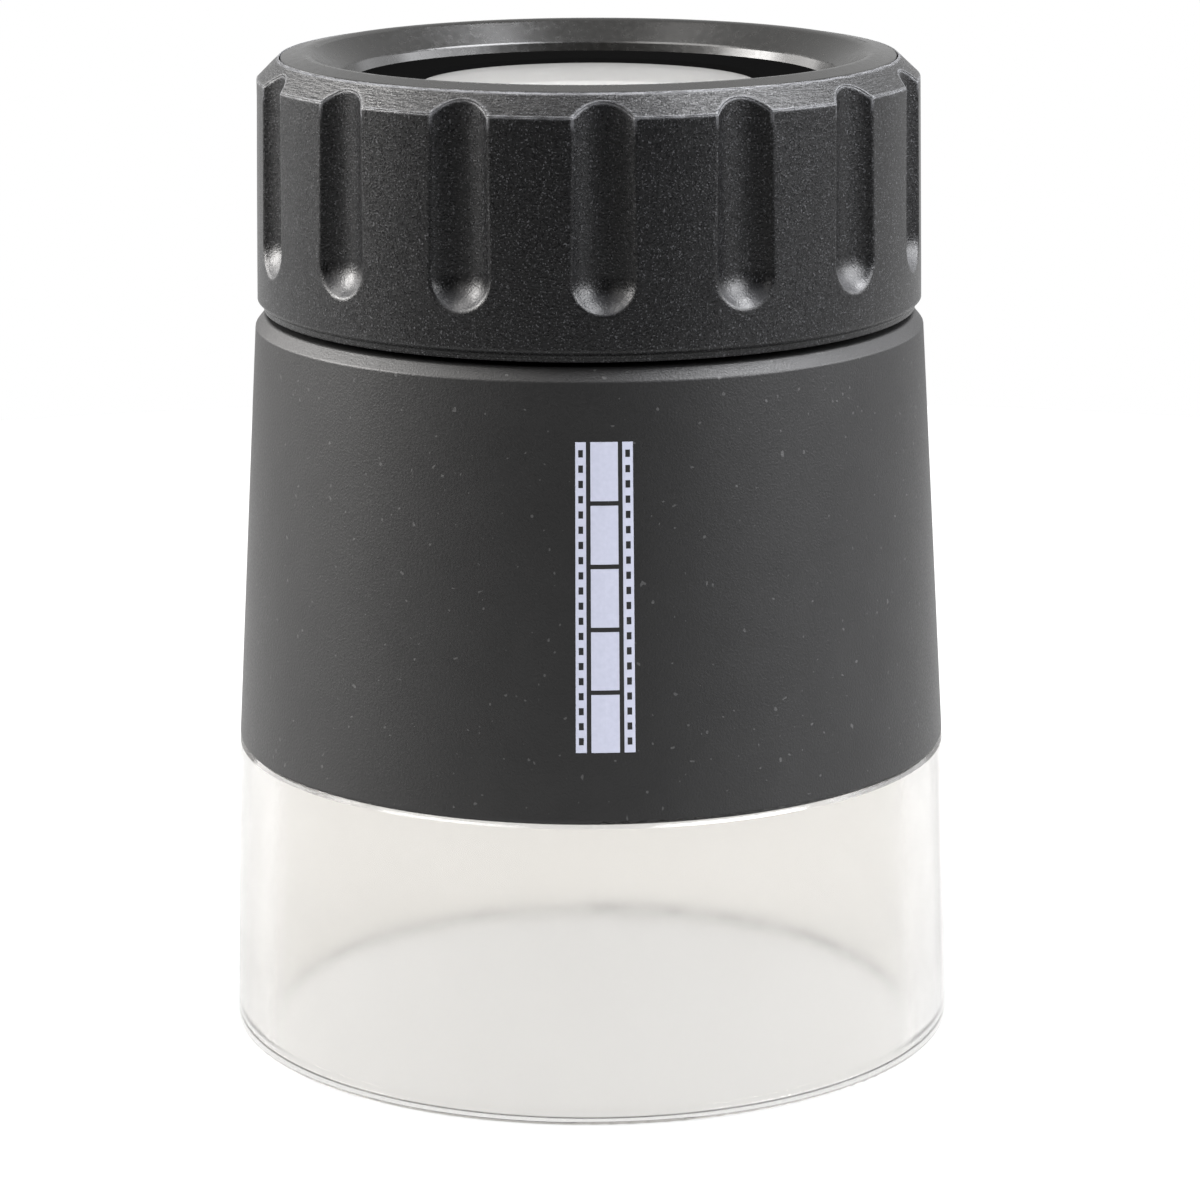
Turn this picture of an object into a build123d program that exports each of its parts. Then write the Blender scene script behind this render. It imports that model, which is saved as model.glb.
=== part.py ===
from build123d import *
import os
from math import cos, degrees, radians, sqrt, tan

# Focusing viewing loupe with a fluted focus ring, a black barrel and a clear skirt.
# Millimetres. +Z runs up the optical axis, -Y is the front, and the origin is the centre of
# the skirt's resting rim. Everything is drawn at rest, with the focus ring screwed right down.

# ---- Overall ----
overall_height = 67.7  # resting rim to the crest of the eyecup
base_diameter = 50.0  # clear skirt over its resting rim

# ---- Clear skirt ----
skirt_height = 20.4  # the part that shows below the barrel
skirt_flare = 0.55  # how far the rim stands out past the barrel's foot, on the radius
skirt_wall = 2.4  # at the resting rim
rim_rounding = 0.4
skirt_top_chamfer = 0.25
spigot_length = 6.4  # the part that plugs into the barrel
spigot_wall = 1.25
socket_clearance = 0.05

# ---- Snap ring that holds the skirt in its socket ----
snap_ring_height = 0.8
snap_ring_width = 0.8
snap_ring_gap = 5.0
snap_groove_clearance = 0.05
snap_groove_below_spigot_top = 3.3

# ---- Barrel ----
barrel_wall = 1.6
socket_wall = 1.24  # at the top of the socket that the skirt plugs into
barrel_foot_rounding = 0.3
barrel_top_thickness = 3.1
shoulder_overhang = 0.17  # shoulder past the focus ring's foot, on the radius
shoulder_drop = 0.8
shoulder_run = 0.65
shoulder_rounding = 0.25

# ---- Optics: two achromatic doublets, convex faces together, flat faces outwards ----
lens_diameter = 26.0
lens_surface_radius = 54.6
flint_centre_thickness = 1.5
crown_edge_thickness = 1.0
doublet_air_gap = 1.0
lens_land = 0.8  # flat ring round each convex face, which the spacer bears on
lens_clearance = 0.05
lens_depth_below_seam = 2.0

# ---- Lens cell ----
cell_wall = 2.55
cell_lip = 1.1  # how far the bottom lip holds the lens in from its edge
cell_lip_thickness = 1.2
cell_tail_wall = 1.5
cell_tail_recess = 2.0  # cell's bottom end above the focus tube's bottom end
cell_flange_thickness = 1.0
cell_flange_inset = 0.5  # flange edge in from the eyecup's outside
collar_wall = 1.25
collar_height = 1.1

# ---- Eye lens retainer ----
retainer_margin = 0.5  # threaded edge out past the cell's outside
retainer_height = 1.6
retainer_lip = 0.3
retainer_overlap = 1.65  # lip over the edge of the lens
retainer_bevel = 0.35
retainer_thread_clearance = 0.05
spanner_slot_width = 1.4
spanner_slot_length = 1.6
spanner_slot_depth = 0.5

# ---- Eyecup ----
eyecup_height = 3.1  # seam down to the cell's flange
eyecup_crest_inset = 1.75  # crest in from the seam
eyecup_land_angle = 10.9  # slope of the land from the seam up to the crest
eyecup_funnel_angle = 35.5  # slope of the funnel from the crest down to the ridge
eyecup_mouth_gap = 0.4  # mouth out from the retainer's edge
eyecup_ridge_inset = 0.4
eyecup_ledge = 0.05  # above the collar
eyecup_crest_rounding = 0.9
eyecup_ridge_rounding = 0.35
eyecup_seam_rounding = 0.15
seam_gap = 0.1

# ---- Focus movement ----
focus_travel = 5.0  # rise of the eyepiece over its whole range
focus_angle = 150.0  # turn of the ring that gives it
running_clearance = 0.06
tube_wall = 2.5
tube_flange_thickness = 2.0
tube_flange_gap = 0.15  # inside the barrel
tube_end_land = 0.75  # above the top of the helical grooves
tube_entry_chamfer = 0.3
sleeve_wall = 1.7
sleeve_inset = 0.3  # sleeve's bottom end above the focus ring's
follower_diameter = 2.0
follower_count = 3
follower_inset = 2.9  # follower's centre above the sleeve's bottom end
groove_clearance = 0.05
groove_depth = 0.9
follower_tip_clearance = 0.1
guide_diameter = 2.0
guide_count = 3
guide_first_angle = 60.0
guide_above_cell_end = 2.6
slot_depth = 0.8

# ---- Stack between the focus tube's top and the cell's flange ----
circlip_clearance_below = 0.4
circlip_thickness = 0.6
circlip_groove_depth = 0.6
circlip_width = 2.0
circlip_gap = 4.0
circlip_seat_clearance = 0.05
preload_washer_thickness = 0.3
preload_washer_width = 2.0
sleeve_flange_thickness = 1.2
thrust_washer_thickness = 0.4
washer_clearance = 0.15

# ---- Focus ring ----
ring_gap = 0.4  # above the barrel
ring_wall = 2.45
ring_draft = 0.25
ring_chamfer_run = 1.5
ring_chamfer_drop = 1.4
ring_chamfer_rounding = 0.15
ring_foot_step = 0.42
ring_foot_step_height = 0.45
ring_foot_chamfer = 0.25
ring_counterbore_clearance = 0.2
flute_count = 15
flute_radius = 2.6
flute_depth = 0.95
flute_edge_rounding = 0.2
flute_foot = 3.05  # rounded lower end of a flute above the ring's foot
flute_first_angle = -87.5  # one flute lies just to the right of the front

# ---- Light baffle ----
film_frame = (36.0, 24.0)
baffle_wall = 0.8
baffle_gap = 0.15
baffle_foot_thickness = 0.6  # flange held between the skirt's spigot and the barrel
baffle_rib_count = 5
baffle_rib_thickness = 0.6
baffle_light_margin = 0.6

# ---- Screws that hold the focus tube up under the barrel's top ----
screw_count = 3
screw_first_angle = 0.0
screw_radius = 0.8
screw_hole_clearance = 0.1
screw_head_radius = 1.35
screw_length = 4.2
screw_tip_clearance = 0.3
screw_socket_width = 1.2
screw_socket_depth = 0.5
screw_edge_margin = 0.1

# ---- Heights, worked down from the crest ----
half_slope = radians(eyecup_land_angle + eyecup_funnel_angle) / 2
half_skew = radians(eyecup_land_angle - eyecup_funnel_angle) / 2
crest_corner_z = overall_height + eyecup_crest_rounding * (cos(half_skew) / cos(half_slope) - 1)
seam_z = crest_corner_z - eyecup_crest_inset * tan(radians(eyecup_land_angle))
flange_top_z = seam_z - eyecup_height
flange_z = flange_top_z - cell_flange_thickness
sleeve_top_z = flange_z - thrust_washer_thickness
sleeve_flange_z = sleeve_top_z - sleeve_flange_thickness
circlip_top_z = sleeve_flange_z - preload_washer_thickness
circlip_z = circlip_top_z - circlip_thickness
tube_top_z = circlip_z - circlip_clearance_below
groove_width = follower_diameter + 2 * groove_clearance
follower_z = tube_top_z - tube_end_land - groove_width / 2 - focus_travel
sleeve_z = follower_z - follower_inset
ring_z = sleeve_z - sleeve_inset
barrel_top_z = ring_z - ring_gap
barrel_ceiling_z = barrel_top_z - barrel_top_thickness
tube_z = barrel_ceiling_z - tube_flange_thickness
cell_z = tube_z + cell_tail_recess
spigot_top_z = skirt_height + spigot_length
baffle_foot_top_z = spigot_top_z + baffle_foot_thickness
socket_top_z = baffle_foot_top_z + baffle_gap

# ---- Radii, worked out from the lenses ----
lens_radius = lens_diameter / 2
cell_bore = lens_radius + lens_clearance
cell_radius = cell_bore + cell_wall
tail_bore = cell_radius - cell_tail_wall
tube_bore = cell_radius + running_clearance
tube_radius = tube_bore + tube_wall
sleeve_bore = tube_radius + running_clearance
sleeve_radius = sleeve_bore + sleeve_wall
ring_top_radius = sleeve_radius + ring_wall
ring_foot_radius = ring_top_radius + ring_draft
seam_radius = ring_top_radius - ring_chamfer_run
eyecup_radius = seam_radius - seam_gap
retainer_radius = cell_radius + retainer_margin
collar_bore = retainer_radius + retainer_thread_clearance
collar_radius = collar_bore + collar_wall
shoulder_radius = ring_foot_radius + shoulder_overhang
base_radius = base_diameter / 2
foot_radius = base_radius - skirt_flare


def barrel_outside(z):
    """Radius of the barrel's tapered outside at this height."""
    shoulder_z = barrel_top_z - shoulder_drop
    share = (z - skirt_height) / (shoulder_z - skirt_height)
    return foot_radius + share * (shoulder_radius - foot_radius)


socket_radius = barrel_outside(socket_top_z) - socket_wall
spigot_radius = socket_radius - socket_clearance
spigot_bore = spigot_radius - spigot_wall


# ---- Heights of the lens faces ----
def sag(radius):
    """Depth of a lens surface from its middle out to this radius."""
    return lens_surface_radius - sqrt(lens_surface_radius**2 - radius**2)


cemented_sag = sag(lens_radius)
land_radius = lens_radius - lens_land
land_sag = sag(land_radius)
flint_edge_thickness = flint_centre_thickness + cemented_sag
eye_flint_top_z = seam_z - lens_depth_below_seam
eye_cement_z = eye_flint_top_z - flint_edge_thickness
eye_crown_z = eye_cement_z - crown_edge_thickness
field_crown_top_z = eye_crown_z - 2 * land_sag - doublet_air_gap
field_cement_z = field_crown_top_z - crown_edge_thickness
field_flint_z = field_cement_z - flint_edge_thickness
retainer_top_z = eye_flint_top_z + retainer_lip
retainer_z = retainer_top_z - retainer_height


def half_section(*corners):
    """Closed face beside the Z axis; a corner is (radius, height) or (radius, height, rounding)."""
    with BuildSketch(Plane.XZ) as section:
        with BuildLine():
            FilletPolyline(
                *[corner[:2] for corner in corners],
                radius=[corner[2] if len(corner) == 3 else 0 for corner in corners],
                close=True,
            )
        make_face()
    return section.sketch


def ring_section(inner_radius, outer_radius, low_z, high_z):
    """Plain rectangular half section of a ring."""
    return half_section(
        (inner_radius, low_z), (outer_radius, low_z), (outer_radius, high_z), (inner_radius, high_z)
    )


def spokes(count, first_angle, radius, z):
    """Planes facing outwards, evenly spaced round the axis, whose Z axes are radial."""
    for spoke in range(count):
        outwards = Plane.XY.rotated((0, 0, first_angle + spoke * 360 / count)).x_dir
        yield Plane(origin=outwards * radius + Vector(0, 0, z), z_dir=outwards)


def finish(piece, name):
    """Label a piece and write it as its own STEP file."""
    piece.part.label = name
    export_step(piece.part, f"parts/{name}.step")


os.makedirs("parts", exist_ok=True)

# ---- Clear skirt: a tapered acrylic tube with a spigot that plugs into the barrel ----
snap_groove_z = spigot_top_z - snap_groove_below_spigot_top
snap_mean_radius = (spigot_radius + socket_radius) / 2
snap_inner_radius = snap_mean_radius - snap_ring_width / 2
snap_outer_radius = snap_mean_radius + snap_ring_width / 2
with BuildPart() as clear_skirt:
    revolve(
        half_section(
            (base_radius - skirt_wall, 0, rim_rounding / 2),
            (base_radius, 0, rim_rounding),
            (foot_radius, skirt_height - skirt_top_chamfer),
            (foot_radius - skirt_top_chamfer, skirt_height),
            (spigot_radius, skirt_height),
            (spigot_radius, spigot_top_z),
            (spigot_bore, spigot_top_z),
        ),
        axis=Axis.Z,
    )
    revolve(
        ring_section(
            snap_inner_radius - snap_groove_clearance,
            spigot_radius + 1,
            snap_groove_z - snap_groove_clearance,
            snap_groove_z + snap_ring_height + snap_groove_clearance,
        ),
        axis=Axis.Z,
        mode=Mode.SUBTRACT,
    )
finish(clear_skirt, "clear_skirt")

with BuildPart() as skirt_snap_ring:
    revolve(
        ring_section(
            snap_inner_radius, snap_outer_radius, snap_groove_z, snap_groove_z + snap_ring_height
        ),
        axis=Axis.Z,
    )
    with Locations((0, snap_mean_radius, snap_groove_z)):
        Box(snap_ring_gap, 3 * snap_ring_width, 3 * snap_ring_height, mode=Mode.SUBTRACT)
finish(skirt_snap_ring, "skirt_snap_ring")

# ---- Barrel: a tapered shell, open below, with a thick top that carries the focus tube ----
screw_circle = (tube_radius + barrel_outside(tube_z) - barrel_wall) / 2 - screw_edge_margin
screw_tip_z = tube_z + screw_length
with BuildPart() as barrel:
    revolve(
        half_section(
            (socket_radius, skirt_height),
            (foot_radius, skirt_height, barrel_foot_rounding),
            (shoulder_radius, barrel_top_z - shoulder_drop, shoulder_rounding),
            (shoulder_radius - shoulder_run, barrel_top_z, shoulder_rounding),
            (tube_radius + running_clearance, barrel_top_z),
            (tube_radius + running_clearance, barrel_ceiling_z),
            (barrel_outside(barrel_ceiling_z) - barrel_wall, barrel_ceiling_z),
            (barrel_outside(socket_top_z) - barrel_wall, socket_top_z),
            (socket_radius, socket_top_z),
        ),
        axis=Axis.Z,
    )
    revolve(
        ring_section(
            socket_radius - 1,
            snap_outer_radius + snap_groove_clearance,
            snap_groove_z - snap_groove_clearance,
            snap_groove_z + snap_ring_height + snap_groove_clearance,
        ),
        axis=Axis.Z,
        mode=Mode.SUBTRACT,
    )
    with PolarLocations(screw_circle, screw_count, start_angle=screw_first_angle):
        with Locations((0, 0, barrel_ceiling_z)):
            Cylinder(
                screw_radius,
                screw_tip_z + screw_tip_clearance - barrel_ceiling_z,
                align=(Align.CENTER, Align.CENTER, Align.MIN),
                mode=Mode.SUBTRACT,
            )
finish(barrel, "barrel")

# ---- Light baffle: a thin conical liner, held by its foot, with ribs just outside the cone of light ----
field_radius = sqrt(film_frame[0] ** 2 + film_frame[1] ** 2) / 2
stop_radius = lens_radius - cell_lip
baffle_top_z = tube_z
baffle_height = baffle_top_z - spigot_top_z


def light_radius(z):
    """Radius at this height of the light that runs from the film's corners to the lens stop."""
    share = z / (field_flint_z - cell_lip_thickness)
    return field_radius + share * (stop_radius - field_radius)


def baffle_outside(z):
    """Radius of the liner's outside, a little clear of the barrel's inside."""
    return barrel_outside(z) - barrel_wall - baffle_gap


with BuildPart() as light_baffle:
    revolve(
        half_section(
            (baffle_outside(spigot_top_z) - baffle_wall, spigot_top_z),
            (spigot_radius, spigot_top_z),
            (spigot_radius, baffle_foot_top_z),
            (baffle_outside(baffle_foot_top_z), baffle_foot_top_z),
            (baffle_outside(baffle_top_z), baffle_top_z),
            (baffle_outside(baffle_top_z) - baffle_wall, baffle_top_z),
        ),
        axis=Axis.Z,
    )
    for rib in range(baffle_rib_count):
        rib_z = spigot_top_z + rib * (baffle_height - baffle_rib_thickness) / (baffle_rib_count - 1)
        rib_top_z = rib_z + baffle_rib_thickness
        revolve(
            ring_section(
                light_radius(rib_z) + baffle_light_margin,
                baffle_outside(rib_top_z) - baffle_wall / 2,
                rib_z,
                rib_top_z,
            ),
            axis=Axis.Z,
        )
finish(light_baffle, "light_baffle")

# ---- Focus tube: fixed tube with three helical grooves outside and three straight slots inside ----
groove_bottom_radius = tube_radius - groove_depth
groove_lead = focus_travel * 360 / focus_angle
slot_width = guide_diameter + 2 * groove_clearance
slot_bottom_radius = tube_bore + slot_depth
guide_z = cell_z + guide_above_cell_end
slot_top_z = guide_z + focus_travel + slot_width / 2
flange_radius = barrel_outside(barrel_ceiling_z) - barrel_wall - tube_flange_gap

groove_end_angle = degrees(groove_width / 2 / groove_bottom_radius)  # room for a follower's own radius
groove_end_rise = focus_travel * groove_end_angle / focus_angle
with BuildPart() as groove_cutter:
    with BuildLine() as groove_line:
        Helix(
            pitch=groove_lead,
            height=focus_travel + 2 * groove_end_rise,
            radius=tube_radius,
            center=(0, 0, follower_z - groove_end_rise),
        )
    with BuildSketch(Plane(groove_line.line @ 0, x_dir=(1, 0, 0), z_dir=groove_line.line % 0)):
        Rectangle(2 * groove_depth, groove_width)
    sweep(is_frenet=True)

with BuildPart() as focus_tube:
    revolve(
        half_section(
            (tube_bore, tube_z),
            (flange_radius, tube_z),
            (flange_radius, barrel_ceiling_z),
            (tube_radius, barrel_ceiling_z),
            (tube_radius, tube_top_z - tube_entry_chamfer),
            (tube_radius - tube_entry_chamfer, tube_top_z),
            (tube_bore, tube_top_z),
        ),
        axis=Axis.Z,
    )
    with PolarLocations(0, follower_count, start_angle=-groove_end_angle):
        add(groove_cutter.part, mode=Mode.SUBTRACT)
    with PolarLocations(tube_bore, guide_count, start_angle=guide_first_angle):
        with Locations((0, 0, tube_z)):
            Box(
                2 * slot_depth,
                slot_width,
                slot_top_z - tube_z,
                align=(Align.CENTER, Align.CENTER, Align.MIN),
                mode=Mode.SUBTRACT,
            )
    with PolarLocations(screw_circle, screw_count, start_angle=screw_first_angle):
        with Locations(Location((0, 0, tube_z), (180, 0, 0))):
            CounterSinkHole(
                radius=screw_radius + screw_hole_clearance,
                counter_sink_radius=screw_head_radius + screw_hole_clearance,
                depth=tube_flange_thickness,
                counter_sink_angle=90,
            )
finish(focus_tube, "focus_tube")

# ---- Countersunk screws, heads flush with the underside of the flange ----
with BuildPart() as tube_screw:
    revolve(
        half_section(
            (0, tube_z),
            (screw_head_radius, tube_z),
            (screw_radius, tube_z + screw_head_radius - screw_radius),
            (screw_radius, screw_tip_z - screw_radius / 2),
            (screw_radius / 2, screw_tip_z),
            (0, screw_tip_z),
        ),
        axis=Axis.Z,
    )
    with BuildSketch(Plane.XY.offset(tube_z)):
        RegularPolygon(screw_socket_width / 2, 6, major_radius=False)
    extrude(amount=screw_socket_depth, mode=Mode.SUBTRACT)

with BuildPart() as tube_screws:
    with PolarLocations(screw_circle, screw_count, start_angle=screw_first_angle):
        add(tube_screw.part)
finish(tube_screws, "tube_screws")

# ---- Lens cell: slides in the focus tube, with a bottom lip, a top flange and a threaded collar ----
with BuildPart() as lens_cell:
    revolve(
        half_section(
            (tail_bore, cell_z),
            (cell_radius, cell_z),
            (cell_radius, flange_z),
            (eyecup_radius - cell_flange_inset, flange_z),
            (eyecup_radius - cell_flange_inset, flange_top_z),
            (collar_radius, flange_top_z),
            (collar_radius, flange_top_z + collar_height),
            (collar_bore, flange_top_z + collar_height),
            (collar_bore, retainer_z),
            (cell_bore, retainer_z),
            (cell_bore, field_flint_z),
            (stop_radius, field_flint_z),
            (stop_radius, field_flint_z - cell_lip_thickness),
            (tail_bore, field_flint_z - cell_lip_thickness),
        ),
        axis=Axis.Z,
    )
    revolve(
        ring_section(cell_radius - circlip_groove_depth, cell_radius + 1, circlip_z, circlip_top_z),
        axis=Axis.Z,
        mode=Mode.SUBTRACT,
    )
    for pin_plane in spokes(guide_count, guide_first_angle, 0, guide_z):
        with BuildSketch(pin_plane):
            Circle(guide_diameter / 2)
        extrude(amount=cell_radius + 1, mode=Mode.SUBTRACT)
finish(lens_cell, "lens_cell")

# ---- Guide pins: pressed through the cell's tail into the straight slots, so the cell can't turn ----
with BuildPart() as guide_pins:
    for pin_plane in spokes(guide_count, guide_first_angle, tail_bore, guide_z):
        with BuildSketch(pin_plane):
            Circle(guide_diameter / 2)
        extrude(amount=slot_bottom_radius - follower_tip_clearance - tail_bore)
finish(guide_pins, "guide_pins")


# ---- Lenses ----
def lens_face(apex_z, edge_radius, edge_z):
    """Arc from the axis out to the edge of a spherical lens surface."""
    middle = edge_radius / 2
    middle_z = apex_z + (sag(middle) if edge_z > apex_z else -sag(middle))
    ThreePointArc((0, apex_z), (middle, middle_z), (edge_radius, edge_z))


with BuildPart() as eye_flint:
    with BuildSketch(Plane.XZ):
        with BuildLine():
            lens_face(eye_cement_z + cemented_sag, lens_radius, eye_cement_z)
            Polyline(
                (lens_radius, eye_cement_z),
                (lens_radius, eye_flint_top_z),
                (0, eye_flint_top_z),
                (0, eye_cement_z + cemented_sag),
            )
        make_face()
    revolve(axis=Axis.Z)
finish(eye_flint, "eye_flint_lens")

with BuildPart() as eye_crown:
    with BuildSketch(Plane.XZ):
        with BuildLine():
            lens_face(eye_cement_z + cemented_sag, lens_radius, eye_cement_z)
            Polyline((lens_radius, eye_cement_z), (lens_radius, eye_crown_z), (land_radius, eye_crown_z))
            lens_face(eye_crown_z - land_sag, land_radius, eye_crown_z)
            Line((0, eye_crown_z - land_sag), (0, eye_cement_z + cemented_sag))
        make_face()
    revolve(axis=Axis.Z)
finish(eye_crown, "eye_crown_lens")

with BuildPart() as field_crown:
    with BuildSketch(Plane.XZ):
        with BuildLine():
            lens_face(field_crown_top_z + land_sag, land_radius, field_crown_top_z)
            Polyline(
                (land_radius, field_crown_top_z),
                (lens_radius, field_crown_top_z),
                (lens_radius, field_cement_z),
            )
            lens_face(field_cement_z - cemented_sag, lens_radius, field_cement_z)
            Line((0, field_cement_z - cemented_sag), (0, field_crown_top_z + land_sag))
        make_face()
    revolve(axis=Axis.Z)
finish(field_crown, "field_crown_lens")

with BuildPart() as field_flint:
    with BuildSketch(Plane.XZ):
        with BuildLine():
            lens_face(field_cement_z - cemented_sag, lens_radius, field_cement_z)
            Polyline(
                (lens_radius, field_cement_z),
                (lens_radius, field_flint_z),
                (0, field_flint_z),
                (0, field_cement_z - cemented_sag),
            )
        make_face()
    revolve(axis=Axis.Z)
finish(field_flint, "field_flint_lens")

with BuildPart() as lens_spacer:
    revolve(ring_section(land_radius, lens_radius, field_crown_top_z, eye_crown_z), axis=Axis.Z)
finish(lens_spacer, "lens_spacer")

# ---- Eye lens retainer: threaded ring whose bevelled lip holds the lenses down ----
with BuildPart() as eye_retainer:
    revolve(
        half_section(
            (lens_radius - retainer_overlap, eye_flint_top_z),
            (lens_radius - retainer_overlap + retainer_bevel, retainer_top_z),
            (retainer_radius, retainer_top_z),
            (retainer_radius, retainer_z),
            (cell_bore, retainer_z),
            (cell_bore, eye_flint_top_z),
        ),
        axis=Axis.Z,
    )
    with Locations(
        (retainer_radius, 0, retainer_top_z),
        (-retainer_radius, 0, retainer_top_z),
    ):
        Box(
            2 * spanner_slot_length, spanner_slot_width, 2 * spanner_slot_depth, mode=Mode.SUBTRACT
        )
finish(eye_retainer, "eye_lens_retainer")

# ---- Eyecup: smooth moulded rim, pressed over the cell's collar, just clear of the focus ring ----
eyecup_mouth = retainer_radius + eyecup_mouth_gap
eyecup_ledge_z = flange_top_z + collar_height + eyecup_ledge
crest_corner_radius = eyecup_radius - eyecup_crest_inset
ridge_radius = eyecup_mouth + eyecup_ridge_inset
ridge_z = crest_corner_z - (crest_corner_radius - ridge_radius) * tan(radians(eyecup_funnel_angle))
with BuildPart() as eyecup:
    revolve(
        half_section(
            (collar_radius, flange_top_z),
            (eyecup_radius, flange_top_z),
            (eyecup_radius, seam_z, eyecup_seam_rounding),
            (crest_corner_radius, crest_corner_z, eyecup_crest_rounding),
            (ridge_radius, ridge_z, eyecup_ridge_rounding),
            (eyecup_mouth, eyecup_ledge_z),
            (collar_radius, eyecup_ledge_z),
        ),
        axis=Axis.Z,
    )
finish(eyecup, "eyecup")

# ---- Circlip, preload washer and thrust washer, which tie the sleeve to the cell endways ----
circlip_radius = cell_radius - circlip_groove_depth + circlip_seat_clearance
with BuildPart() as cell_circlip:
    revolve(
        ring_section(circlip_radius, circlip_radius + circlip_width, circlip_z, circlip_top_z),
        axis=Axis.Z,
    )
    with Locations((0, circlip_radius + circlip_width / 2, circlip_z)):
        Box(circlip_gap, 2 * circlip_width, 3 * circlip_thickness, mode=Mode.SUBTRACT)
finish(cell_circlip, "cell_circlip")

washer_bore = cell_radius + washer_clearance
with BuildPart() as preload_washer:
    revolve(
        ring_section(washer_bore, washer_bore + preload_washer_width, circlip_top_z, sleeve_flange_z),
        axis=Axis.Z,
    )
finish(preload_washer, "preload_washer")

with BuildPart() as thrust_washer:
    revolve(
        ring_section(washer_bore, sleeve_radius - washer_clearance, sleeve_top_z, flange_z),
        axis=Axis.Z,
    )
finish(thrust_washer, "thrust_washer")

# ---- Follower sleeve: pressed into the focus ring, turns on the fixed tube ----
with BuildPart() as follower_sleeve:
    revolve(
        half_section(
            (sleeve_bore, sleeve_z),
            (sleeve_radius, sleeve_z),
            (sleeve_radius, sleeve_top_z),
            (tube_bore, sleeve_top_z),
            (tube_bore, sleeve_flange_z),
            (sleeve_bore, sleeve_flange_z),
        ),
        axis=Axis.Z,
    )
    for pin_plane in spokes(follower_count, 0, tube_radius, follower_z):
        with BuildSketch(pin_plane):
            Circle(follower_diameter / 2)
        extrude(amount=sleeve_radius, mode=Mode.SUBTRACT)
finish(follower_sleeve, "follower_sleeve")

# ---- Follower pins: pressed through the sleeve's wall, one at the start of each helical groove ----
follower_tip_radius = groove_bottom_radius + follower_tip_clearance
with BuildPart() as follower_pins:
    for pin_plane in spokes(follower_count, 0, follower_tip_radius, follower_z):
        with BuildSketch(pin_plane):
            Circle(follower_diameter / 2)
        extrude(amount=sleeve_radius - follower_tip_clearance - follower_tip_radius)
finish(follower_pins, "follower_pins")

# ---- Focus ring: drafted, chamfered at the top, stepped at the foot, with ball-ended flutes ----
foot_step_radius = ring_foot_radius - ring_foot_step
foot_step_z = ring_z + ring_foot_step_height
chamfer_z = seam_z - ring_chamfer_drop
counterbore_z = sleeve_top_z + ring_counterbore_clearance
flute_circle = ring_top_radius - flute_depth + flute_radius
flute_half_width = sqrt(flute_radius**2 - (flute_circle - ring_foot_radius) ** 2)
flute_centre_z = ring_z + flute_foot + flute_half_width
with BuildPart() as grip_ring:
    revolve(
        half_section(
            (sleeve_radius, ring_z),
            (foot_step_radius, ring_z),
            (foot_step_radius, foot_step_z),
            (ring_foot_radius - ring_foot_chamfer, foot_step_z),
            (ring_foot_radius, foot_step_z + ring_foot_chamfer),
            (ring_top_radius, chamfer_z, ring_chamfer_rounding),
            (seam_radius, seam_z),
            (seam_radius, counterbore_z),
            (sleeve_radius, counterbore_z),
        ),
        axis=Axis.Z,
    )
    with PolarLocations(flute_circle, flute_count, start_angle=flute_first_angle):
        with Locations((0, 0, flute_centre_z)):
            Sphere(flute_radius, mode=Mode.SUBTRACT)
            Cylinder(
                flute_radius,
                overall_height - flute_centre_z,
                align=(Align.CENTER, Align.CENTER, Align.MIN),
                mode=Mode.SUBTRACT,
            )
    flute_faces = faces().filter_by(lambda face: face.radius is not None and face.radius <= flute_radius)
    flute_edges = [
        edge
        for face in flute_faces.filter_by(GeomType.SPHERE) + flute_faces.filter_by(GeomType.CYLINDER)
        for edge in face.edges()
        if edge.bounding_box().size.Z > flute_edge_rounding
    ]
    fillet(flute_edges, flute_edge_rounding)
finish(grip_ring, "grip_ring")
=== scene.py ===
"""Looks for the viewing loupe: camera, plain studio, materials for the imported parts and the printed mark."""
import math

import bmesh
import bpy
from mathutils import Matrix, Vector


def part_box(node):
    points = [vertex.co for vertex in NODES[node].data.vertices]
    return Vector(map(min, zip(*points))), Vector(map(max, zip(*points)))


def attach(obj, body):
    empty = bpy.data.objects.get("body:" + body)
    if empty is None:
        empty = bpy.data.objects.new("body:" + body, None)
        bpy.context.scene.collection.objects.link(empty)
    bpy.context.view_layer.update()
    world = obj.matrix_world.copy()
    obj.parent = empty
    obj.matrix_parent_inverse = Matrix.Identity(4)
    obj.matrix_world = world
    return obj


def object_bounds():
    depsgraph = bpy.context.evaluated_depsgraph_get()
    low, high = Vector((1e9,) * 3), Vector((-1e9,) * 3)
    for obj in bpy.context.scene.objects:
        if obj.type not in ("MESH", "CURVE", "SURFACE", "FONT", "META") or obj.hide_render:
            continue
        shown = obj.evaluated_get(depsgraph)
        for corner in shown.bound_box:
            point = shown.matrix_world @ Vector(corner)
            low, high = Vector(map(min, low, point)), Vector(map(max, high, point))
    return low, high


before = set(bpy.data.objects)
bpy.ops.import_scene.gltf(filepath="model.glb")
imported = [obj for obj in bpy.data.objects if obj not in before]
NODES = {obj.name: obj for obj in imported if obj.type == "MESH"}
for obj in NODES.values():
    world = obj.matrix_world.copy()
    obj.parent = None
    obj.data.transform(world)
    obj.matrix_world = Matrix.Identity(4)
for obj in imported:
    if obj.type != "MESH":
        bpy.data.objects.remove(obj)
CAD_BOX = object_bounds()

MM = 0.001
BARREL_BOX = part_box("barrel")
BARREL_RADIUS = (BARREL_BOX[1].x - BARREL_BOX[0].x) / 2

# ---- Camera, in the frame's own metres and degrees ----
CAMERA_DISTANCE = 0.3175  # from the middle of the resting rim
CAMERA_ELEVATION = 18.92  # seen from there
CAMERA_PITCH = 13.75  # below the horizontal
CAMERA_ROLL = -0.2
CAMERA_SIDE = 0.65 * MM
CAMERA_LENS = 133.5  # on a 36 mm sensor

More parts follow.
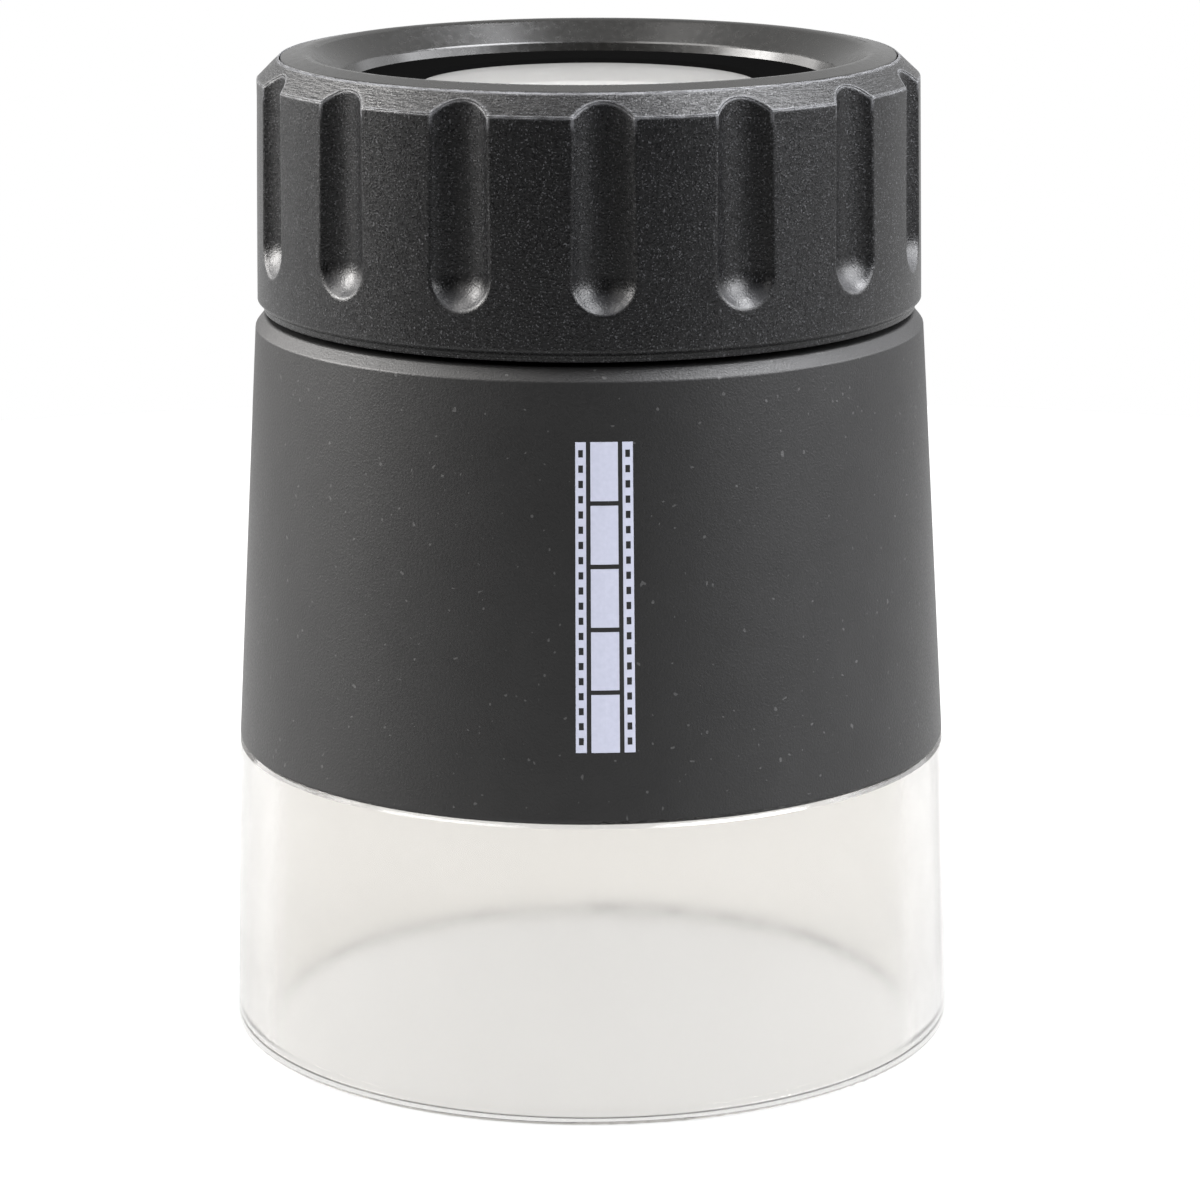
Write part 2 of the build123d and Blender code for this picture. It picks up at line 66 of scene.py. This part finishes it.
# ---- Studio ----
FLOOR_RADIUS = 0.22
FLOOR_COLOUR = (0.1, 0.1, 0.099, 1.0)  # a dark grey that its own glow lifts to a pale floor
FLOOR_GLOW = 0.81
BACK_GLOW = 0.68  # surroundings behind the loupe
FRONT_GLOW = 0.0  # surroundings on the camera's side
GLOW_BLEND = 0.5  # half the width of the change between them, as a share of the sky's radius
LIGHT_DISTANCE = 0.7
LIGHT_SIZE = (0.40, 0.35)
WARM = (1.0, 0.98, 0.96)
COOL = (0.97, 0.975, 1.0)
# Soft boxes: name, degrees round from the front, degrees up, watts, colour.
LIGHTS = (
    ("left", -90, 25, 11.5, WARM),
    ("right", 90, 25, 4.2, COOL),
    ("high_left", -90, 63, 3.5, WARM),
    ("high_right", 90, 63, 10.0, COOL),
    ("back_left", -125, 20, 2.0, WARM),
    ("back_right", 125, 20, 0.8, COOL),
    ("front_left", -45, 30, 1.0, WARM),
    ("front_right", 60, 26, 5.4, COOL),
)

# ---- Grip ring ----
CHAMFER_ZONE = (2.6 * MM, 1.5 * MM)  # below the ring's top: where its streaks and painted edge highlights fade in
EDGE_ROUNDING = 0.28 * MM

# ---- Printed mark: a plain film strip, with solid frames between two perforated edges ----
MARK_LENGTH = 20.2 * MM
MARK_WIDTH = 3.9 * MM
MARK_SIDE = 1.0 * MM  # middle of the mark to the right of the front
MARK_TOP_DROP = 4.6 * MM  # below the barrel's top
MARK_FRAMES = 5
MARK_GAP = 0.3 * MM  # between frames, and between a frame and the edges
MARK_LINE = 0.2 * MM  # on both sides of a perforation
MARK_HOLE = (0.32 * MM, 0.48 * MM)
MARK_HOLES = 20
MARK_THICKNESS = 0.02 * MM
MARK_COLUMN = 0.3 * MM  # width of the faces that follow the barrel's curve
MARK_ROW = 4 * MARK_COLUMN


# ---------------------------------------------------------------- node helpers
class Shader:
    """A material with a Principled shader and short ways to add nodes to it."""

    def __init__(self, name):
        self.material = bpy.data.materials.new(name)
        self.material.use_nodes = True
        self.tree = self.material.node_tree
        self.tree.nodes.clear()
        self.output = self.tree.nodes.new("ShaderNodeOutputMaterial")
        self.surface = self.tree.nodes.new("ShaderNodeBsdfPrincipled")
        self.link(self.surface.outputs["BSDF"], self.output.inputs["Surface"])

    def link(self, source, target):
        self.tree.links.new(source, target)

    def set(self, **values):
        """Set the shader's own sockets; a name's underscores stand for spaces."""
        for name, value in values.items():
            self.surface.inputs[name.replace("_", " ")].default_value = value
        return self

    def node(self, kind, **settings):
        node = self.tree.nodes.new("ShaderNode" + kind)
        for name, value in settings.items():
            setattr(node, name, value)
        return node

    def math(self, operation, first, second=0.0):
        node = self.node("Math", operation=operation)
        for socket, value in zip(node.inputs, (first, second)):
            if isinstance(value, (int, float)):
                socket.default_value = value
            else:
                self.link(value, socket)
        return node.outputs[0]

    def place(self):
        """Position on the part, in its own metres, whatever the pose."""
        return self.node("TexCoord").outputs["Object"]

    def normal(self):
        """Surface normal in the part's own axes."""
        return self.node("TexCoord").outputs["Normal"]

    def noise(self, vector, size, detail=2.0, roughness=0.5):
        """Noise whose features are about this size, in metres."""
        node = self.node("TexNoise")
        node.inputs["Scale"].default_value = 1 / size
        node.inputs["Detail"].default_value = detail
        node.inputs["Roughness"].default_value = roughness
        self.link(vector, node.inputs["Vector"])
        return node.outputs["Fac"]

    def remap(self, value, low, high, new_low=0.0, new_high=1.0):
        node = self.node("MapRange", interpolation_type="SMOOTHSTEP")
        for name, number in (
            ("From Min", low), ("From Max", high), ("To Min", new_low), ("To Max", new_high)
        ):
            node.inputs[name].default_value = number
        self.link(value, node.inputs["Value"])
        return node.outputs["Result"]

    def colours(self, factor, first, second):
        """Blend of two colours by a factor."""
        node = self.node("Mix", data_type="RGBA")
        self.link(factor, node.inputs[0])
        node.inputs[6].default_value = (*first, 1.0)
        node.inputs[7].default_value = (*second, 1.0)
        return node.outputs[2]

    def bump(self, height, distance, strength=1.0, normal=None):
        node = self.node("Bump")
        node.inputs["Distance"].default_value = distance
        node.inputs["Strength"].default_value = strength
        self.link(height, node.inputs["Height"])
        if normal is not None:
            self.link(normal, node.inputs["Normal"])
        return node.outputs["Normal"]

    def round_coordinates(self, along):
        """Position unrolled round the Z axis, with this many metres to a radian round it."""
        split = self.node("SeparateXYZ")
        self.link(self.place(), split.inputs[0])
        x, y, z = split.outputs
        angle = self.math("ARCTAN2", y, x)
        radius = self.math("SQRT", self.math("ADD", self.math("MULTIPLY", x, x), self.math("MULTIPLY", y, y)))
        joined = self.node("CombineXYZ")
        self.link(self.math("MULTIPLY", angle, along), joined.inputs[0])
        self.link(radius, joined.inputs[1])
        self.link(z, joined.inputs[2])
        return joined.outputs[0]


def dress(material, *names):
    """Give CAD nodes a material."""
    for name in names:
        slots = NODES[name].data.materials
        slots.clear()
        slots.append(material)


# ---------------------------------------------------------------- materials
def grained_ring():
    """Black moulded plastic with a fine spark-eroded grain.

    The top chamfer is streaked round the ring and its edges carry a painted highlight, and a painted highlight
    with a little dust lies on what faces up below it, which is the ball ends of the flutes.
    """
    shader = Shader("ring_black").set(Specular_IOR_Level=0.4)
    place = shader.place()
    grain = shader.noise(place, 0.15 * MM, 2.0, 0.6)
    fine = shader.noise(place, 0.10 * MM, 0.0)
    normal_z = shader.node("SeparateXYZ")
    shader.link(shader.normal(), normal_z.inputs[0])
    height = shader.node("SeparateXYZ")
    shader.link(place, height.inputs[0])
    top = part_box("grip_ring")[1].z
    upper = shader.remap(height.outputs[2], top - CHAMFER_ZONE[0], top - CHAMFER_ZONE[1])
    chamfer = shader.math("MULTIPLY", shader.remap(normal_z.outputs[2], 0.3, 0.5), upper)
    streaks = shader.noise(shader.round_coordinates(0.0035), 0.2 * MM, 3.0, 0.65)
    rounded = shader.node("Bevel", samples=4)
    rounded.inputs["Radius"].default_value = EDGE_ROUNDING
    even = shader.bump(grain, 0.028 * MM, normal=rounded.outputs["Normal"])
    shader.link(
        shader.bump(shader.math("MULTIPLY", streaks, chamfer), 0.16 * MM, normal=even),
        shader.surface.inputs["Normal"],
    )
    # Painted highlight: the chamfer's rounded edges, found where the bevelled normal leaves the true one, are
    # made pale in the base colour.
    alike = shader.node("VectorMath", operation="DOT_PRODUCT")
    shader.link(rounded.outputs["Normal"], alike.inputs[0])
    shader.link(shader.node("NewGeometry").outputs["Normal"], alike.inputs[1])
    edge = shader.math("MULTIPLY", shader.remap(alike.outputs["Value"], 0.975, 0.998, 1.0, 0.0), upper)
    painted_edge_highlight = shader.math("MULTIPLY", edge, shader.remap(streaks, 0.35, 0.6, 0.5, 1.2))
    specks = shader.math("MULTIPLY", shader.remap(fine, 0.66, 0.76), 0.34)
    # Painted highlight with a little dust: faces turned up below the chamfer, the ball ends of the flutes, are
    # made paler in the base colour.
    lower = shader.math("SUBTRACT", 1.0, upper)
    painted_highlight_ledge = shader.math("MULTIPLY", shader.remap(normal_z.outputs[2], 0.2, 0.6), lower)
    dust_and_painted_highlight = shader.math("MULTIPLY", painted_highlight_ledge, shader.remap(grain, 0.3, 0.7, 0.13, 0.2))
    # Pale grain specks, the painted edge highlight and the painted highlight on upward faces, all as lighter
    # base colour.
    pale = shader.math("MAXIMUM", shader.math("MAXIMUM", specks, dust_and_painted_highlight), painted_edge_highlight)
    shader.link(
        shader.colours(pale, (0.003, 0.003, 0.0033), (0.15, 0.152, 0.16)), shader.surface.inputs["Base Color"]
    )
    shader.link(shader.remap(grain, 0.35, 0.65, 0.36, 0.26), shader.surface.inputs["Roughness"])
    return shader.material


def satin_barrel():
    """Black moulded plastic with a fine, shallow grain and a few dust-sized specks."""
    shader = Shader("barrel_black").set(Specular_IOR_Level=0.38)
    place = shader.place()
    grain = shader.noise(place, 0.15 * MM, 1.5, 0.5)
    shader.link(shader.bump(grain, 0.018 * MM), shader.surface.inputs["Normal"])
    cloud = shader.noise(place, 3.0 * MM, 2.0)
    dust_and_painted_highlight = shader.remap(shader.noise(place, 0.35 * MM, 0.0), 0.80, 0.84)
    tint = shader.math("ADD", shader.math("MULTIPLY", cloud, 0.12), dust_and_painted_highlight)
    shader.link(
        shader.colours(tint, (0.0055, 0.0054, 0.0055), (0.045, 0.045, 0.045)),
        shader.surface.inputs["Base Color"],
    )
    shader.link(shader.remap(grain, 0.3, 0.7, 0.5, 0.42), shader.surface.inputs["Roughness"])
    return shader.material


def smooth_eyecup():
    """Smooth satin black of the eyecup, with the faint mottle of moulded plastic."""
    shader = Shader("eyecup_black").set(Specular_IOR_Level=0.45)
    place = shader.place()
    mottle = shader.noise(place, 0.5 * MM, 3.0)
    shader.link(shader.bump(mottle, 0.002 * MM, 0.6), shader.surface.inputs["Normal"])
    shader.link(
        shader.colours(mottle, (0.0055, 0.0054, 0.0050), (0.0080, 0.0077, 0.0070)),
        shader.surface.inputs["Base Color"],
    )
    shader.link(shader.remap(mottle, 0.3, 0.7, 0.22, 0.28), shader.surface.inputs["Roughness"])
    return shader.material


def dead_black(name, level, roughness, gloss=0.3):
    """Matte black with a fine powdery grain, for the inside."""
    shader = Shader(name).set(Roughness=roughness, Specular_IOR_Level=gloss)
    grain = shader.noise(shader.place(), 0.12 * MM, 2.0)
    shader.link(shader.bump(grain, 0.006 * MM, 0.7), shader.surface.inputs["Normal"])
    shader.link(
        shader.colours(grain, (level * 0.8,) * 3, (level * 1.2,) * 3), shader.surface.inputs["Base Color"]
    )
    return shader.material


def turned_metal(name, colour, roughness, groove=0.05 * MM):
    """Metal with fine turning marks round its axis."""
    shader = Shader(name).set(Metallic=1.0)
    marks = shader.noise(shader.round_coordinates(0.002), groove, 2.0)
    shader.link(shader.bump(marks, 0.002 * MM, 0.6), shader.surface.inputs["Normal"])
    darker = tuple(channel * 0.85 for channel in colour)
    shader.link(shader.colours(marks, darker, colour), shader.surface.inputs["Base Color"])
    shader.link(
        shader.remap(marks, 0.3, 0.7, roughness * 0.8, roughness * 1.2), shader.surface.inputs["Roughness"]
    )
    return shader.material


def clear_acrylic():
    """Clear acrylic with a warm tint and a soft, slightly cloudy moulding haze."""
    shader = Shader("clear_acrylic").set(Transmission_Weight=0.97, IOR=1.49)
    place = shader.place()
    ripple = shader.noise(place, 9 * MM, 1.0)
    shader.link(shader.bump(ripple, 0.02 * MM, 0.5), shader.surface.inputs["Normal"])
    tint = shader.colours(ripple, (0.80, 0.785, 0.76), (0.815, 0.803, 0.782))
    shader.link(tint, shader.surface.inputs["Base Color"])
    cloud = shader.noise(place, 3 * MM, 2.0)
    shader.link(shader.remap(cloud, 0.3, 0.7, 0.11, 0.15), shader.surface.inputs["Roughness"])
    return shader.material


def optical_glass(name, index):
    """Coated optical glass with a pale haze."""
    shader = Shader(name).set(
        Base_Color=(0.97, 0.965, 0.945, 1.0), Transmission_Weight=0.82, IOR=index,
        Coat_Weight=1.0, Coat_Roughness=0.4, Coat_IOR=1.6,
    )
    haze = shader.noise(shader.place(), 4.0 * MM, 3.0)
    shader.link(shader.remap(haze, 0.3, 0.7, 0.0, 0.012), shader.surface.inputs["Roughness"])
    return shader.material


def slip_plastic():
    """White slip plastic of the thrust washer."""
    shader = Shader("slip_plastic").set(Roughness=0.4)
    cloud = shader.noise(shader.place(), 1.0 * MM, 2.0)
    white = shader.colours(cloud, (0.70, 0.70, 0.67), (0.78, 0.78, 0.75))
    shader.link(white, shader.surface.inputs["Base Color"])
    return shader.material


def mark_ink():
    """Pale lavender-grey printing ink, slightly uneven."""
    shader = Shader("mark_ink").set(Roughness=0.5)
    cloud = shader.noise(shader.place(), 0.3 * MM, 3.0)
    shader.link(
        shader.colours(cloud, (0.37, 0.385, 0.475), (0.45, 0.465, 0.56)), shader.surface.inputs["Base Color"]
    )
    return shader.material


# ---------------------------------------------------------------- printed mark
def strip_cells():
    """Rectangles of the film strip: (left, right, low, high) in metres from its lower middle."""
    half = MARK_WIDTH / 2
    hole_width, hole_height = MARK_HOLE
    edge = 2 * MARK_LINE + hole_width
    cells = []
    pitch = (MARK_LENGTH + hole_height) / (MARK_HOLES + 1)
    for outer, step in ((-half, 1), (half, -1)):
        for start, width in ((0, MARK_LINE), (MARK_LINE + hole_width, MARK_LINE)):
            sides = sorted((outer + step * start, outer + step * (start + width)))
            cells.append((*sides, 0, MARK_LENGTH))
        sides = sorted((outer + step * MARK_LINE, outer + step * (MARK_LINE + hole_width)))
        for bar in range(MARK_HOLES + 1):
            low = bar * pitch
            cells.append((*sides, low, low + pitch - hole_height))
    inner = half - edge - MARK_GAP
    frame_pitch = (MARK_LENGTH + MARK_GAP) / MARK_FRAMES
    for frame_number in range(MARK_FRAMES):
        low = frame_number * frame_pitch
        cells.append((-inner, inner, low, low + frame_pitch - MARK_GAP))
    return cells


def barrel_point(side, z):
    """Point and outward normal on the barrel's outside, this far round from the front."""
    angle = side / BARREL_RADIUS - math.pi / 2
    outwards = Vector((math.cos(angle), math.sin(angle), 0))
    start = outwards * 2 * BARREL_RADIUS + Vector((0, 0, z))
    _, point, normal, _ = NODES["barrel"].ray_cast(start, -outwards)
    return point, normal


def film_mark():
    """The mark, as thin raised ink laid on the barrel."""
    mesh = bpy.data.meshes.new("printed_mark")
    shape = bmesh.new()
    base_z = BARREL_BOX[1].z - MARK_TOP_DROP - MARK_LENGTH
    for left, right, low, high in strip_cells():
        columns = max(1, round((right - left) / MARK_COLUMN))
        rows = max(1, round((high - low) / MARK_ROW))
        grid = []
        for row in range(rows + 1):
            z = base_z + low + (high - low) * row / rows
            line = []
            for column in range(columns + 1):
                side = MARK_SIDE + left + (right - left) * column / columns
                point, normal = barrel_point(side, z)
                line.append(shape.verts.new(point + normal * MARK_THICKNESS / 2))
            grid.append(line)
        for lower, upper in zip(grid, grid[1:]):
            for column in range(columns):
                shape.faces.new((lower[column], lower[column + 1], upper[column + 1], upper[column]))
    bmesh.ops.recalc_face_normals(shape, faces=shape.faces)
    bmesh.ops.solidify(shape, geom=shape.faces[:], thickness=MARK_THICKNESS)
    shape.to_mesh(mesh)
    shape.free()
    piece = bpy.data.objects.new("printed_mark", mesh)
    bpy.context.scene.collection.objects.link(piece)
    mesh.materials.append(mark_ink())
    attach(piece, "base")


# ---------------------------------------------------------------- studio
def camera():
    """A camera that looks down on the loupe from the front."""
    elevation = math.radians(CAMERA_ELEVATION)
    pitch = math.radians(CAMERA_PITCH)
    data = bpy.data.cameras.new("camera")
    data.lens = CAMERA_LENS
    data.sensor_width = 36.0
    data.clip_start = 0.01
    data.clip_end = 20.0
    eye = bpy.data.objects.new("camera", data)
    bpy.context.scene.collection.objects.link(eye)
    eye.location = (
        CAMERA_SIDE, -CAMERA_DISTANCE * math.cos(elevation), CAMERA_DISTANCE * math.sin(elevation)
    )
    tilt = Matrix.Rotation(math.pi / 2 - pitch, 4, "X")
    roll = Matrix.Rotation(math.radians(CAMERA_ROLL), 4, "Z")
    eye.rotation_euler = (tilt @ roll).to_euler()
    bpy.context.scene.camera = eye


def floor():
    """A plain pale floor."""
    mesh = bpy.data.meshes.new("floor")
    shape = bmesh.new()
    bmesh.ops.create_circle(shape, cap_ends=True, segments=96, radius=FLOOR_RADIUS)
    shape.to_mesh(mesh)
    shape.free()
    piece = bpy.data.objects.new("floor", mesh)
    bpy.context.scene.collection.objects.link(piece)
    shader = Shader("floor").set(
        Base_Color=FLOOR_COLOUR, Roughness=0.9, Specular_IOR_Level=0.1,
        Emission_Color=(1.0, 1.0, 1.0, 1.0), Emission_Strength=FLOOR_GLOW,
    )
    mesh.materials.append(shader.material)


def soft_light(name, turn, elevation, power, colour):
    """A soft box, this far round from the front and this high, in degrees, aimed at the loupe."""
    turn, elevation = math.radians(turn), math.radians(elevation)
    data = bpy.data.lights.new(name, "AREA")
    data.shape = "RECTANGLE"
    data.size, data.size_y = LIGHT_SIZE
    data.energy = power
    data.color = colour
    light = bpy.data.objects.new(name, data)
    bpy.context.scene.collection.objects.link(light)
    middle = Vector((0, 0, CAD_BOX[1][2] / 2))
    reach = math.cos(elevation)
    away = Vector((math.sin(turn) * reach, -math.cos(turn) * reach, math.sin(elevation)))
    light.location = middle + away * LIGHT_DISTANCE
    light.rotation_euler = away.to_track_quat("Z", "Y").to_euler()


def studio():
    """Surroundings that glow behind the loupe and are white to the camera, and the soft boxes."""
    world = bpy.data.worlds.new("studio")
    world.use_nodes = True
    tree = world.node_tree
    background = tree.nodes["Background"]
    background.inputs["Color"].default_value = (1.0, 1.0, 1.0, 1.0)
    split = tree.nodes.new("ShaderNodeSeparateXYZ")
    tree.links.new(tree.nodes.new("ShaderNodeTexCoord").outputs["Generated"], split.inputs[0])
    glow = tree.nodes.new("ShaderNodeMapRange")
    glow.interpolation_type = "SMOOTHSTEP"
    for name, number in (
        ("From Min", -GLOW_BLEND), ("From Max", GLOW_BLEND), ("To Min", FRONT_GLOW), ("To Max", BACK_GLOW)
    ):
        glow.inputs[name].default_value = number
    tree.links.new(split.outputs["Y"], glow.inputs["Value"])
    seen = tree.nodes.new("ShaderNodeMix")
    seen.inputs["B"].default_value = 1.0
    tree.links.new(tree.nodes.new("ShaderNodeLightPath").outputs["Is Camera Ray"], seen.inputs["Factor"])
    tree.links.new(glow.outputs["Result"], seen.inputs["A"])
    tree.links.new(seen.outputs["Result"], background.inputs["Strength"])
    bpy.context.scene.world = world
    for light in LIGHTS:
        soft_light(*light)
    bpy.context.scene.view_settings.view_transform = "Standard"


# ---------------------------------------------------------------- the scene
dress(grained_ring(), "grip_ring")
dress(satin_barrel(), "barrel")
dress(smooth_eyecup(), "eyecup")
dress(dead_black("retainer_black", 0.002, 0.6, 0.0), "eye_lens_retainer")
dress(dead_black("baffle_black", 0.01, 0.8), "light_baffle")
dress(dead_black("black_aluminium", 0.02, 0.45), "focus_tube", "lens_cell", "lens_spacer", "follower_sleeve")
dress(clear_acrylic(), "clear_skirt")
dress(optical_glass("flint_glass", 1.62), "eye_flint_lens", "field_flint_lens")
dress(optical_glass("crown_glass", 1.517), "eye_crown_lens", "field_crown_lens")
dress(
    turned_metal("spring_steel", (0.55, 0.55, 0.56), 0.3),
    "skirt_snap_ring", "cell_circlip", "preload_washer",
)
dress(turned_metal("screw_steel", (0.14, 0.14, 0.145), 0.35), "tube_screws")
dress(turned_metal("pin_brass", (0.72, 0.53, 0.26), 0.25), "guide_pins", "follower_pins")
dress(slip_plastic(), "thrust_washer")

film_mark()
camera()
floor()
studio()
